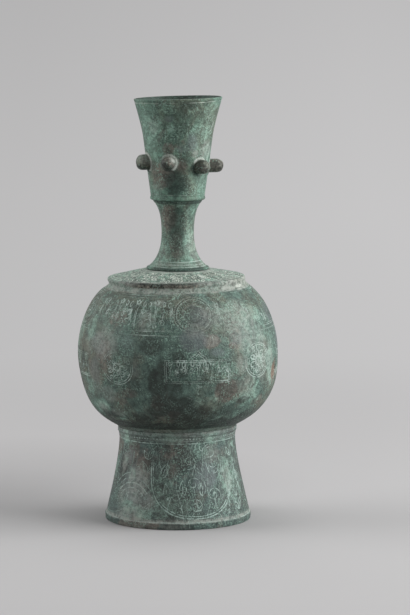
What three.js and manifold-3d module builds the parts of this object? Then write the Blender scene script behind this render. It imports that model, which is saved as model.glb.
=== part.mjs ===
// A bronze bottle with a flared foot, a round body, a shoulder plate, a waisted neck and a tall mouth cup
// with six studs around it. Every large piece is turned about the upright axis. Each one has a spigot that
// seats in its neighbour, and a fillet of soft solder holds each seat. The studs are riveted through the
// wall of the cup. Millimetres, +Z up, with the origin at the centre of the foot's standing edge.

import * as THREE from "three";
import { mergeVertices } from "three/addons/utils/BufferGeometryUtils.js";
import Module from "manifold-3d";

const wasm = await Module();
wasm.setup();

// Fits and facets
const clearance = 0.3; // gap left between two pieces that are fitted together
const bodyFacets = 48; // facets around the foot, the body and the shoulder plate
const neckFacets = 32; // facets around the neck and the cup
const studFacets = 14; // facets around a stud

// Straight stretches that stand for each curve of an outline
const sideSteps = 9; // the outside of the body
const wallSteps = 7; // the side of the foot and the neck's lower flare
const innerSteps = 6; // the inside of the body, the neck's upper flare and the cup's flare
const headSteps = 5; // the head of a stud
const edgeSteps = 3; // rounded edges

// Every curve below is a pair of handles. Each handle is a share of the way from the curve's start to its
// end, across and up, so the curve keeps its character when its ends move.

// Foot
const footHeight = 64.3; // standing edge to the seat of the body
const footBaseRadius = 49.9;
const footStandingRadius = 49.5; // outer edge of the face that it stands on
const footLipHeight = 5.2; // turned lip around the base
const footLipStep = 0.9; // how far the lip stands out from the side
const footLipUpright = [0.25, 0.7]; // shares of the lip's height between which its edge is upright
const footWaistRadius = 39.6;
const footWaistHeight = 55.5;
const footSideCurve = [[0.25, 0.2], [0.97, 0.74]];
const footTopRadius = 40.6; // the same as the underside of the body there
const footBandHeight = 3.4; // plain band under the body
const footBandEdge = 0.4; // rounding of the band's lower edge
const footWall = 2.8;

// Body
const bowlLowerHeight = 50.3; // seat on the foot to the widest level
const bowlUpperHeight = 45.3; // widest level to the ridge around the mouth
const bowlRadius = 68.15;
const bowlRidgeRadius = 48.3;
const bowlLowerCurve = [[0.187, 0.087], [1, 0.188]];
const bowlUpperCurve = [[0, 0.431], [0.463, 0.861]];
const bowlMouthRadius = 44.0;
const bowlMouthDepth = 5.4; // upright land that takes the shoulder plate
const bowlWall = 2.4;
const bowlFloor = 2.6; // thickness of the floor
const bowlSpigotDepth = 4.0;
const bowlSpigotWall = 2.6;

// Shoulder plate
const plateBandRadius = 46.9; // upright band around the plate
const plateBandHeight = 5.9;
const plateBandHollow = 0.5; // depth of the hollow around the band
const plateHollowStart = 0.15; // shares of the band's height where the hollow starts and is deepest
const plateHollowMiddle = 0.5;
const plateEdgeRadius = 45.3; // where the rounded edge meets the top
const plateEdgeHeight = 1.8; // height of the rounded edge
const plateEdgeCurve = [[0, 0.6], [0.5, 1]];
const plateRise = 4.9; // rise of the coned top from its edge to the neck
const plateLandRadius = 22.4; // flat land that carries the neck's collar
const plateThickness = 2.4;
const plateSpigotDepth = 3.0;
const plateSpigotWall = 2.4;

// Neck
const neckHeight = 46.4; // collar's seat to the seat of the cup
const neckCollarRadius = 21.3;
const neckCollarHeight = 1.5;
const neckCollarUpright = 0.6; // share of the collar's height up to which its edge is upright
const neckFlareRadius = 20.2; // foot of the flare, just inside the collar
const neckWaistRadius = 11.1;
const neckWaistHeight = 24.4; // above the collar's seat
const neckLowerCurve = [[0.47, 0.135], [1, 0.403]];
const neckUpperCurve = [[0, 0.507], [0.328, 0.829]];
const neckTopRadius = 16.7;
const neckTopEdge = 0.7; // upright edge under the cup
const neckBoreRadius = 8.9;
const neckSpigotWall = 3.2;
const neckSpigotDepth = 6.0; // how far the lower spigot reaches below the seat
const neckSpigotHeight = 6.2; // how far the upper spigot stands up through the cup's floor

// Mouth cup
const cupHeight = 68.8; // seat on the neck to the rim
const cupRollRadius = 18.8; // rounded roll at the lower edge
const cupRollHeight = 2.6;
const cupRollBelly = 0.45; // share of the roll's height at which it is widest
const cupRollOverhang = 0.6; // the underside of the roll starts this far outside the neck
const cupRollCurve = [[0.8, 0], [1, 0.5]];
const cupLowerRadius = 18.4; // just above the roll
const cupFlareRadius = 23.55; // where the side starts to flare
const cupFlareHeight = 42.2; // above the cup's seat
const cupFlareCurve = [[0.137, 0.263], [0.71, 0.76]];
const cupRimRadius = 30.1;
const cupWall = 1.9;
const cupFloor = 3.2;

// Studs around the cup, counted from the one at the left and going to the right in front
const studHeight = 24.7; // above the cup's seat
const studReach = 8.6; // from the wall of the cup to the tip
const studRadius = 4.9;
const studRoot = 0.98; // the root's radius as a share of the head's
const studRootLength = 0.1; // share of the reach at which the root ends
const studBelly = 0.42; // share of the reach at which the head is thickest
const studHeadCurve = [[0, 0.62], [0.42, 1]];
const studShankRadius = 2.1;
const studPeenRadius = 3.6; // head of the rivet inside the cup
const studPeenHeight = 1.1;
const studPeenDome = [0.7, 0.3]; // shares of its radius and height where the dome of the peen starts
const studs = [
  { azimuth: -72, rise: 1.3, size: 1.1, reach: 0.94 },
  { azimuth: -15.5, rise: 1.6, size: 0.9, reach: 0.86 },
  { azimuth: 44, rise: -1.5, size: 0.98, reach: 1.0 },
  { azimuth: 95, rise: -2.0, size: 0.96, reach: 1.2 },
  { azimuth: 160, rise: 0.4, size: 1.0, reach: 1.0 },
  { azimuth: 224, rise: -0.4, size: 1.04, reach: 0.96 },
];

// Solder
const solderLeg = 2.2; // leg of the fillet in each seat

// Levels, from the standing edge up
const bowlSeat = footHeight + clearance;
const bowlWidest = bowlSeat + bowlLowerHeight;
const bowlRidge = bowlWidest + bowlUpperHeight;
const plateSeat = bowlRidge + clearance;
const plateEdge = plateSeat + plateBandHeight;
const plateTop = plateEdge + plateRise;
const neckSeat = plateTop + clearance;
const cupSeat = neckSeat + neckHeight + clearance;
const rimLevel = cupSeat + cupHeight;

// Radii of the spigots and of the holes that take them
const footMouthRadius = footTopRadius - footWall;
const bowlSpigotRadius = footMouthRadius - clearance;
const plateSpigotRadius = bowlMouthRadius - clearance;
const neckSpigotRadius = neckBoreRadius + neckSpigotWall;
const neckHoleRadius = neckSpigotRadius + clearance;

// How far the hand-made bottle is out of true. At each level the left side hangs by an angle in degrees,
// and the centre is off to the right by a distance.
const unevenness = [
  { level: 0, hang: 0, off: 0 },
  { level: bowlSeat, hang: 0.55, off: -0.4 },
  { level: bowlSeat + 0.6 * bowlLowerHeight, hang: 0, off: 0.6 },
  { level: bowlWidest, hang: 0, off: 0 },
  { level: bowlWidest + 0.9 * bowlUpperHeight, hang: 0, off: 0 },
  { level: bowlRidge, hang: 0.9, off: -0.3 },
  { level: plateEdge, hang: 0.9, off: -1.1 },
  { level: neckSeat, hang: 0, off: 0 },
  { level: cupSeat, hang: 0, off: 0 },
  { level: rimLevel, hang: 1.5, off: 0.3 },
];

const patina = { roughness: 0.62, metalness: 0.35 };
const bronzeGreen = new THREE.Color(0x5c6f66);
const bronzeDark = new THREE.Color(0x4a5650);
const studBrown = new THREE.Color(0x45443e);
const solderGrey = new THREE.Color(0x8b8d88);

// Outlines. Points are (radius, height), and every outline runs up the outside and down the inside.

function point(radius, height) {
  return new THREE.Vector2(radius, height);
}

// A smooth stretch of an outline between two points.
function sweep(start, curve, end, steps) {
  const [first, second] = curve.map(([across, up]) =>
    point(start.x + across * (end.x - start.x), start.y + up * (end.y - start.y)));
  return new THREE.CubicBezierCurve(start, first, second, end).getPoints(steps);
}

// The same outline moved towards the axis by a distance, square to itself.
function inset(points, distance) {
  return points.map((p, i) => {
    const before = points[Math.max(i - 1, 0)];
    const after = points[Math.min(i + 1, points.length - 1)];
    const along = after.clone().sub(before).normalize();
    return point(p.x - along.y * distance, p.y + along.x * distance);
  });
}

function reversed(points) {
  return [...points].reverse();
}

// Solids

// Drops the seams and the collapsed triangles on the axis, so that the body is one closed mesh.
function closed(geometry) {
  const bare = geometry.clone();
  bare.deleteAttribute("normal");
  bare.deleteAttribute("uv");
  const merged = mergeVertices(bare);
  const corners = merged.index.array;
  const kept = [];
  for (let i = 0; i < corners.length; i += 3) {
    const [a, b, c] = corners.slice(i, i + 3);
    if (a !== b && b !== c && c !== a) kept.push(a, b, c);
  }
  merged.setIndex(kept);
  return merged;
}

// A piece turned about the upright axis. An outline that doesn't start on the axis closes on itself.
function turned(outline, facets) {
  const first = outline[0];
  const points = first.x > 0 ? [...outline, first] : outline;
  const lathe = new THREE.LatheGeometry(points, facets);
  lathe.rotateX(Math.PI / 2);
  return closed(lathe);
}

function toManifold(geometry) {
  return new wasm.Manifold(new wasm.Mesh({
    numProp: 3,
    vertProperties: new Float32Array(geometry.attributes.position.array),
    triVerts: new Uint32Array(geometry.index.array),
  }));
}

function fromManifold(solid) {
  const mesh = solid.getMesh();
  const geometry = new THREE.BufferGeometry();
  geometry.setAttribute("position", new THREE.BufferAttribute(mesh.vertProperties, 3));
  geometry.setIndex(new THREE.BufferAttribute(mesh.triVerts, 1));
  return geometry;
}

function piece(name, geometry, color, level) {
  const material = new THREE.MeshStandardMaterial({ color, ...patina });
  const mesh = new THREE.Mesh(geometry, material);
  mesh.name = name;
  mesh.position.z = level;
  return mesh;
}

// Foot: a flared ring, open above and below, with a lip around its base and a plain band at its top.
function footGeometry() {
  const sideRadius = footBaseRadius - footLipStep;
  const bandStart = footHeight - footBandHeight;
  const sideStart = point(sideRadius, footLipHeight);
  const waist = point(footWaistRadius, footWaistHeight);
  const side = sweep(sideStart, footSideCurve, waist, wallSteps);
  const outside = [
    point(footStandingRadius, 0),
    ...footLipUpright.map((share) => point(footBaseRadius, share * footLipHeight)),
    ...side,
    point(footTopRadius - footBandEdge, bandStart),
    point(footTopRadius, bandStart + footBandEdge),
    point(footTopRadius, footHeight),
  ];
  const insideSide = inset(side, footWall);
  const inside = [
    point(footMouthRadius, footHeight),
    point(footMouthRadius, bandStart - footWall),
    ...reversed(insideSide.slice(0, -1)),
    point(sideRadius - footWall, 0),
  ];
  return turned([...outside, ...inside], bodyFacets);
}

// Body: a round bowl with a floor, a spigot below that enters the foot, and a land inside its mouth.
function bowlGeometry() {
  const widest = point(bowlRadius, bowlLowerHeight);
  const ridgeHeight = bowlLowerHeight + bowlUpperHeight;
  const ridge = point(bowlRidgeRadius, ridgeHeight);
  const side = (steps) => [
    ...sweep(point(footTopRadius, 0), bowlLowerCurve, widest, steps),
    ...sweep(widest, bowlUpperCurve, ridge, steps).slice(1),
  ];
  const spigotInside = bowlSpigotRadius - bowlSpigotWall;
  const landEnd = ridgeHeight - bowlMouthDepth;
  const inner = inset(side(innerSteps), bowlWall).filter((p) => p.y > bowlFloor && p.y < landEnd - bowlWall);
  return turned([
    point(0, 0),
    point(spigotInside, 0),
    point(spigotInside, -bowlSpigotDepth),
    point(bowlSpigotRadius, -bowlSpigotDepth),
    point(bowlSpigotRadius, 0),
    ...side(sideSteps),
    point(bowlMouthRadius, ridgeHeight),
    point(bowlMouthRadius, landEnd),
    ...reversed(inner),
    point(bowlSpigotRadius, bowlFloor),
    point(0, bowlFloor),
  ], bodyFacets);
}

// Shoulder plate: a coned disc with an upright band, a spigot that enters the body, and a hole for the neck.
function plateGeometry() {
  const bandTop = plateBandHeight - plateEdgeHeight;
  const edge = point(plateEdgeRadius, plateBandHeight);
  const underside = plateBandHeight - plateThickness;
  const spigotInside = plateSpigotRadius - plateSpigotWall;
  const top = plateBandHeight + plateRise;
  return turned([
    point(plateSpigotRadius, -plateSpigotDepth),
    point(plateSpigotRadius, 0),
    point(plateBandRadius, 0),
    point(plateBandRadius, plateHollowStart * bandTop),
    point(plateBandRadius - plateBandHollow, plateHollowMiddle * bandTop),
    ...sweep(point(plateBandRadius, bandTop), plateEdgeCurve, edge, edgeSteps),
    point(plateLandRadius, top),
    point(neckHoleRadius, top),
    point(neckHoleRadius, top - plateThickness),
    point(plateLandRadius, top - plateThickness),
    point(spigotInside, underside),
    point(spigotInside, -plateSpigotDepth),
  ], bodyFacets);
}

// Neck: a waisted tube with a collar below, an edge above, and a spigot at each end around one straight bore.
function neckGeometry() {
  const collarTop = point(neckFlareRadius, neckCollarHeight);
  const waist = point(neckWaistRadius, neckWaistHeight);
  const edgeStart = point(neckTopRadius, neckHeight - neckTopEdge);
  return turned([
    point(neckSpigotRadius, -neckSpigotDepth),
    point(neckSpigotRadius, 0),
    point(neckCollarRadius, 0),
    point(neckCollarRadius, neckCollarUpright * neckCollarHeight),
    ...sweep(collarTop, neckLowerCurve, waist, wallSteps),
    ...sweep(waist, neckUpperCurve, edgeStart, innerSteps).slice(1),
    point(neckTopRadius, neckHeight),
    point(neckSpigotRadius, neckHeight),
    point(neckSpigotRadius, neckHeight + neckSpigotHeight),
    point(neckBoreRadius, neckHeight + neckSpigotHeight),
    point(neckBoreRadius, -neckSpigotDepth),
  ], neckFacets);
}

// Side of the cup, from the top of the roll to the rim.
function cupSide() {
  const start = point(cupLowerRadius, cupRollHeight);
  const flare = point(cupFlareRadius, cupFlareHeight);
  const rim = point(cupRimRadius, cupHeight);
  return [start, ...sweep(flare, cupFlareCurve, rim, innerSteps)];
}

// Room around the wall of the cup, which no stud enters except by its shank.
function cupWallRoom() {
  const side = cupSide();
  return turned([...inset(side, -clearance), ...reversed(inset(side, cupWall + clearance))], neckFacets);
}

// Radius of the cup at a height between the roll and the flare.
function cupRadiusAt(height) {
  const share = (height - cupRollHeight) / (cupFlareHeight - cupRollHeight);
  return cupLowerRadius + share * (cupFlareRadius - cupLowerRadius);
}

// Lays a bar along the radius, at an azimuth in degrees from the front and turning to the right.
function alongRadius(geometry, azimuth) {
  geometry.rotateX(Math.PI / 2);
  geometry.rotateZ(THREE.MathUtils.degToRad(azimuth));
  return geometry;
}

function shankBar(radius, from, to) {
  const bar = new THREE.CylinderGeometry(radius, radius, to - from, studFacets);
  bar.rotateX(Math.PI / 2);
  bar.translate(0, 0, (from + to) / 2);
  return closed(bar);
}

// Mouth cup: a tall flared cup with a roll at its lower edge, a floor with a hole that takes the neck, and
// a hole through its wall for each stud.
function cupGeometry() {
  const side = cupSide();
  const inner = inset(side, cupWall).filter((p) => p.y > cupFloor + cupWall);
  const rollStart = point(neckTopRadius + cupRollOverhang, 0);
  const rollMiddle = point(cupRollRadius, cupRollBelly * cupRollHeight);
  const blank = turned([
    point(neckHoleRadius, 0),
    ...sweep(rollStart, cupRollCurve, rollMiddle, edgeSteps),
    ...side,
    ...reversed(inner),
    point(cupLowerRadius - cupWall, cupFloor + cupWall),
    point(cupLowerRadius - 2 * cupWall, cupFloor),
    point(neckHoleRadius, cupFloor),
  ], neckFacets);
  let cup = toManifold(blank);
  for (const { azimuth, rise } of studs) {
    const hole = shankBar(studShankRadius + clearance, cupLowerRadius / 2, cupRimRadius);
    alongRadius(hole, azimuth).translate(0, 0, studHeight + rise);
    cup = cup.subtract(toManifold(hole));
  }
  return fromManifold(cup);
}

// Stud: a blunt domed peg whose base fits the curve of the cup, with a shank through the wall and a
// riveted head inside. It is made in its place on the cup, at the cup's own level.
function studGeometry({ azimuth, rise, size, reach }) {
  const height = studHeight + rise;
  const wallRadius = cupRadiusAt(height);
  const middle = wallRadius - cupWall / 2;
  const radius = studRadius * size;
  const length = studReach * reach;
  const belly = point(radius, wallRadius + studBelly * length);
  const tip = point(0, wallRadius + length);
  const head = turned([
    point(0, middle),
    point(radius * studRoot, middle),
    point(radius * studRoot, wallRadius + studRootLength * length),
    ...sweep(belly, studHeadCurve, tip, headSteps),
  ], studFacets);
  const peenEnd = wallRadius - cupWall - clearance - studPeenHeight;
  const [domeRadius, domeHeight] = studPeenDome;
  const peen = turned([
    point(0, peenEnd),
    point(domeRadius * studPeenRadius, peenEnd + domeHeight * studPeenHeight),
    point(studPeenRadius, peenEnd + studPeenHeight),
    point(studPeenRadius, middle),
    point(0, middle),
  ], studFacets);
  const shank = shankBar(studShankRadius, peenEnd + studPeenHeight / 2, belly.y);
  for (const bar of [head, peen, shank]) {
    alongRadius(bar, azimuth).translate(0, 0, height);
  }
  const ends = toManifold(head).add(toManifold(peen)).subtract(toManifold(cupWallRoom()));
  return fromManifold(ends.add(toManifold(shank)));
}

// Solder: a ring with a three-cornered section that fills the corner of a seat. The corner is at a wall's
// radius, side is 1 where the ring lies outside the wall and -1 inside, and up is 1 or -1 from the corner.
function solderGeometry(wallRadius, side, up, facets) {
  const near = wallRadius + side * clearance;
  const level = up * clearance;
  const corner = point(near, level);
  const alongWall = point(near, level + up * solderLeg);
  const alongFace = point(near + side * solderLeg, level);
  const ring = [corner, alongFace, alongWall];
  return turned(side * up > 0 ? ring : reversed(ring), facets);
}

// The value of one column of the unevenness at a level, eased between the rows. Past the first or the last
// row it stays as it is there.
function unevennessAt(level, column) {
  const next = unevenness.findIndex((entry) => entry.level > level);
  if (next === 0) return unevenness[0][column];
  if (next === -1) return unevenness[unevenness.length - 1][column];
  const low = unevenness[next - 1];
  const high = unevenness[next];
  const share = THREE.MathUtils.smoothstep(level, low.level, high.level);
  return THREE.MathUtils.lerp(low[column], high[column], share);
}

// Moves every point of every piece by the unevenness at its level, so neighbours keep their fits.
function settle(root) {
  root.updateMatrixWorld(true);
  root.traverse((node) => {
    if (!node.isMesh) return;
    const toLocal = node.matrixWorld.clone().invert();
    const positions = node.geometry.attributes.position;
    const spot = new THREE.Vector3();
    for (let i = 0; i < positions.count; i += 1) {
      spot.fromBufferAttribute(positions, i).applyMatrix4(node.matrixWorld);
      const hang = THREE.MathUtils.degToRad(unevennessAt(spot.z, "hang"));
      const off = unevennessAt(spot.z, "off");
      spot.z += spot.x * Math.tan(hang);
      spot.x += off;
      spot.applyMatrix4(toLocal);
      positions.setXYZ(i, spot.x, spot.y, spot.z);
    }
    node.geometry.computeVertexNormals();
  });
}

const lower = new THREE.Group();
lower.add(
  piece("foot", footGeometry(), bronzeDark, 0),
  piece("body_bowl", bowlGeometry(), bronzeGreen, bowlSeat),
  piece("shoulder_plate", plateGeometry(), bronzeGreen, plateSeat),
  piece("foot_solder", solderGeometry(footMouthRadius, -1, -1, bodyFacets), solderGrey,
    bowlSeat - bowlSpigotDepth),
  piece("shoulder_solder", solderGeometry(bowlMouthRadius, -1, -1, bodyFacets), solderGrey,
    plateSeat - plateSpigotDepth),
);

const cup = new THREE.Group();
cup.position.z = cupSeat - neckSeat;
cup.add(
  piece("mouth_cup", cupGeometry(), bronzeGreen, 0),
  piece("cup_solder", solderGeometry(neckSpigotRadius, 1, 1, neckFacets), solderGrey, cupFloor),
);
studs.forEach((stud, i) => {
  cup.add(piece(`stud_${i + 1}`, studGeometry(stud), studBrown, 0));
});

const upper = new THREE.Group();
upper.position.z = neckSeat;
upper.add(
  piece("neck", neckGeometry(), bronzeGreen, 0),
  piece("neck_solder", solderGeometry(neckSpigotRadius, 1, -1, neckFacets), solderGrey,
    -clearance - plateThickness),
  cup,
);

const bottle = new THREE.Group();
bottle.add(lower, upper);
settle(bottle);

export default bottle;
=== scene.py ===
# Looks of the bronze bottle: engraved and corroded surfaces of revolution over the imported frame.
# Outlines are in millimetres, as (radius, height). Azimuths are in degrees from the front, to the right.

import math

import bpy
import numpy as np
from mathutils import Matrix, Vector


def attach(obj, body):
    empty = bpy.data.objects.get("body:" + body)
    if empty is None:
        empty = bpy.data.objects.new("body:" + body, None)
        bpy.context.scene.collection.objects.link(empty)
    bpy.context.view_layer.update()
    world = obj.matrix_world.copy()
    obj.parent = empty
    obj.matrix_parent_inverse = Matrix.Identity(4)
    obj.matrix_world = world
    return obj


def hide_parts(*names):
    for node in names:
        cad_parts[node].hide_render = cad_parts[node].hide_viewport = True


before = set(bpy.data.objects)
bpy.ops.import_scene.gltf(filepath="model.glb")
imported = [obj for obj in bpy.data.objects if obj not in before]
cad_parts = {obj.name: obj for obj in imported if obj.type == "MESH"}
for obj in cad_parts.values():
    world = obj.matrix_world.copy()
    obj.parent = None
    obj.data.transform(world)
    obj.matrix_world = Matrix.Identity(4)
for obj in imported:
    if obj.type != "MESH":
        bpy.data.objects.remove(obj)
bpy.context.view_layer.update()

MM = 0.001
TURN = 2 * math.pi
rng = np.random.default_rng(11)  # for the noise and the patches
draw = np.random.default_rng(5)  # for the engraver's hand


# Levels that the outlines share with the frame

BOWL_SEAT = 64.6  # where the body stands on the foot
BOWL_FLOOR = 67.2
BOWL_WIDEST = 114.9
BOWL_RIDGE = 160.2
PLATE_EDGE = 166.4
PLATE_TOP = 171.3
NECK_SEAT = 171.6
CUP_SEAT = 218.3
RIM = 287.1

# level, how far the left side hangs in degrees, how far the centre is off to the right
UNEVENNESS = np.array([
    (0.0, 0.0, 0.0),
    (BOWL_SEAT, 0.55, -0.4),
    (94.78, 0.0, 0.6),
    (BOWL_WIDEST, 0.0, 0.0),
    (155.67, 0.0, 0.0),
    (BOWL_RIDGE, 0.9, -0.3),
    (PLATE_EDGE, 0.9, -1.1),
    (NECK_SEAT, 0.0, 0.0),
    (CUP_SEAT, 0.0, 0.0),
    (RIM, 1.5, 0.3),
])

# Rise of the rim from back to front, as a slope
RIM_TIP = 0.017

# The straight part of the cup's wall
WALL_LEVELS, WALL_RADII = (220.9, 260.5), (18.4, 23.55)

STUD_RADIUS = 4.9
STUD_LENGTH = 8.6
COLLAR_RADIUS, COLLAR_WIDTH = 5.5, 1.15

# azimuth, height, size, reach
STUDS = [
    (-72.0, 244.3, 1.1, 0.94),
    (-15.5, 244.6, 0.9, 0.86),
    (44.0, 241.5, 0.98, 1.0),
    (95.0, 241.0, 0.96, 1.2),
    (160.0, 243.4, 1.0, 1.0),
    (224.0, 242.6, 1.04, 0.96),
]


def smooth(value, low, high):
    """0 below low and 1 above high, with a soft passage between them."""
    t = np.clip((value - low) / (high - low), 0.0, 1.0)
    return t * t * (3 - 2 * t)


def bell(value, middle, width):
    """1 at the middle, falling off on both sides of it."""
    return np.exp(-((value - middle) / width) ** 2)


def section(distance, width):
    """Depth of an engraved line across its width, 1 in its middle and 0 at its edge."""
    return smooth(1 - distance / width, 0.0, 0.9)


def wrapped(angle):
    """The angle in radians, brought within half a turn of zero."""
    return (angle + math.pi) % TURN - math.pi


def settled(points):
    """The points moved out of true by the unevenness at their level, with the rim tipped."""
    levels = UNEVENNESS[:, 0]
    z = points[:, 2]
    row = np.clip(np.searchsorted(levels, z, side="right") - 1, 0, len(levels) - 2)
    share = smooth(z, levels[row], levels[row + 1])
    hang, off = (
        UNEVENNESS[row, k] + share * (UNEVENNESS[row + 1, k] - UNEVENNESS[row, k])
        for k in (1, 2)
    )
    moved = points.copy()
    moved[:, 2] += points[:, 0] * np.tan(np.radians(hang))
    moved[:, 2] -= points[:, 1] * RIM_TIP * smooth(z, CUP_SEAT, RIM)
    moved[:, 0] += off
    return moved


RING_WOBBLE = 0.12  # sway of an engraved ring
WORKED_REACH = 5  # rows and columns over which the engraving's density is taken
INSIDE_TONES = (0.55, 0.35, 0.0, 0.0)  # dark, brown, teal and worked on the unseen side of the wall
HIDDEN_SIDES = (80, 285)  # azimuths between which patches fall at random
SHARP_ANGLE = math.radians(42)

# Relief of an outside: how far it lies under the outline, and its swells, dents and pits
SINK, SWELL, DENT, PIT = 0.13, 0.12, 0.09, 0.12


# Noise in space, 0 to 1, from a table of random values

SIDE = 48
TABLE = rng.random(SIDE ** 3).astype(np.float32)


def noise(points, size, shift=0.0):
    """Smooth noise with lumps of about the size in millimetres."""
    p = points / size + (shift + 100.0)
    base = np.floor(p)
    t = (p - base).astype(np.float32)
    t = t * t * (3 - 2 * t)
    near = base.astype(np.int32) % SIDE
    far = (near + 1) % SIDE
    steps = (SIDE * SIDE, SIDE, 1)
    x, y, z = ((near[:, k] * steps[k], far[:, k] * steps[k]) for k in range(3))
    layers = []
    for k in (0, 1):
        edges = []
        for j in (0, 1):
            start = TABLE[x[0] + y[j] + z[k]]
            edges.append(start + t[:, 0] * (TABLE[x[1] + y[j] + z[k]] - start))
        layers.append(edges[0] + t[:, 1] * (edges[1] - edges[0]))
    return layers[0] + t[:, 2] * (layers[1] - layers[0])


def layered(points, size, octaves, shift=0.0):
    """Noise with finer and fainter noise on it."""
    total = 0.0
    share = 0.0
    for k in range(octaves):
        total = total + noise(points, size / 2 ** k, shift + 7.3 * k) / 2 ** k
        share += 1 / 2 ** k
    return total / share


# Outlines

def curve(start, handles, end, steps=60):
    """A smooth stretch. Each handle is a share of the way from the start to the end, across and up."""
    start = np.array(start, float)
    end = np.array(end, float)
    first, second = (start + np.array(h) * (end - start) for h in handles)
    t = np.linspace(0, 1, steps + 1)[:, None]
    return ((1 - t) ** 3 * start + 3 * (1 - t) ** 2 * t * first
            + 3 * (1 - t) * t ** 2 * second + t ** 3 * end)


def corner(before, at, after, size, steps=5):
    """A rounded corner between two straight stretches."""
    before, at, after = (np.array(p, float) for p in (before, at, after))
    start = at + (before - at) / np.linalg.norm(before - at) * size
    end = at + (after - at) / np.linalg.norm(after - at) * size
    t = np.linspace(0, 1, steps + 1)[:, None]
    return (1 - t) ** 2 * start + 2 * (1 - t) * t * at + t ** 2 * end


def outline(*stretches):
    """The stretches in one row of points, without doubles."""
    points = np.vstack([np.atleast_2d(np.array(s, float)) for s in stretches])
    apart = np.linalg.norm(np.diff(points, axis=0), axis=1) > 1e-4
    return points[np.concatenate([[True], apart])]


def arc_length(points):
    return np.concatenate([[0.0], np.cumsum(np.linalg.norm(np.diff(points, axis=0), axis=1))])


def even(points, step):
    """The same line with its points about one step apart."""
    arc = arc_length(points)
    spots = np.linspace(0, arc[-1], max(2, int(round(arc[-1] / step)) + 1))
    return np.column_stack([np.interp(spots, arc, points[:, k]) for k in (0, 1)])


def revolved(radius, azimuth, height):
    return np.stack([radius * np.sin(azimuth), -radius * np.cos(azimuth), height + 0 * azimuth], axis=-1)


def lattice(path, columns, closed):
    """Quads and texture coordinates of rings along a path. A closed one joins its last ring to its first."""
    row = np.arange(len(path) - 1)[:, None] * columns
    col = np.arange(columns)
    a, b = row + col, row + (col + 1) % columns
    c, d = (np.roll(b, -1, axis=0), np.roll(a, -1, axis=0)) if closed else (b + columns, a + columns)
    v = arc_length(path)
    v /= v[-1]
    left = np.broadcast_to(col / columns, a.shape)
    right = left + 1 / columns
    low, high = (np.broadcast_to(ends[:, None], a.shape) for ends in (v[:-1], v[1:]))
    uv = np.stack([left, low, right, low, right, high, left, high], axis=-1)
    return np.stack([a, b, c, d], axis=-1).reshape(-1, 4), uv


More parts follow.
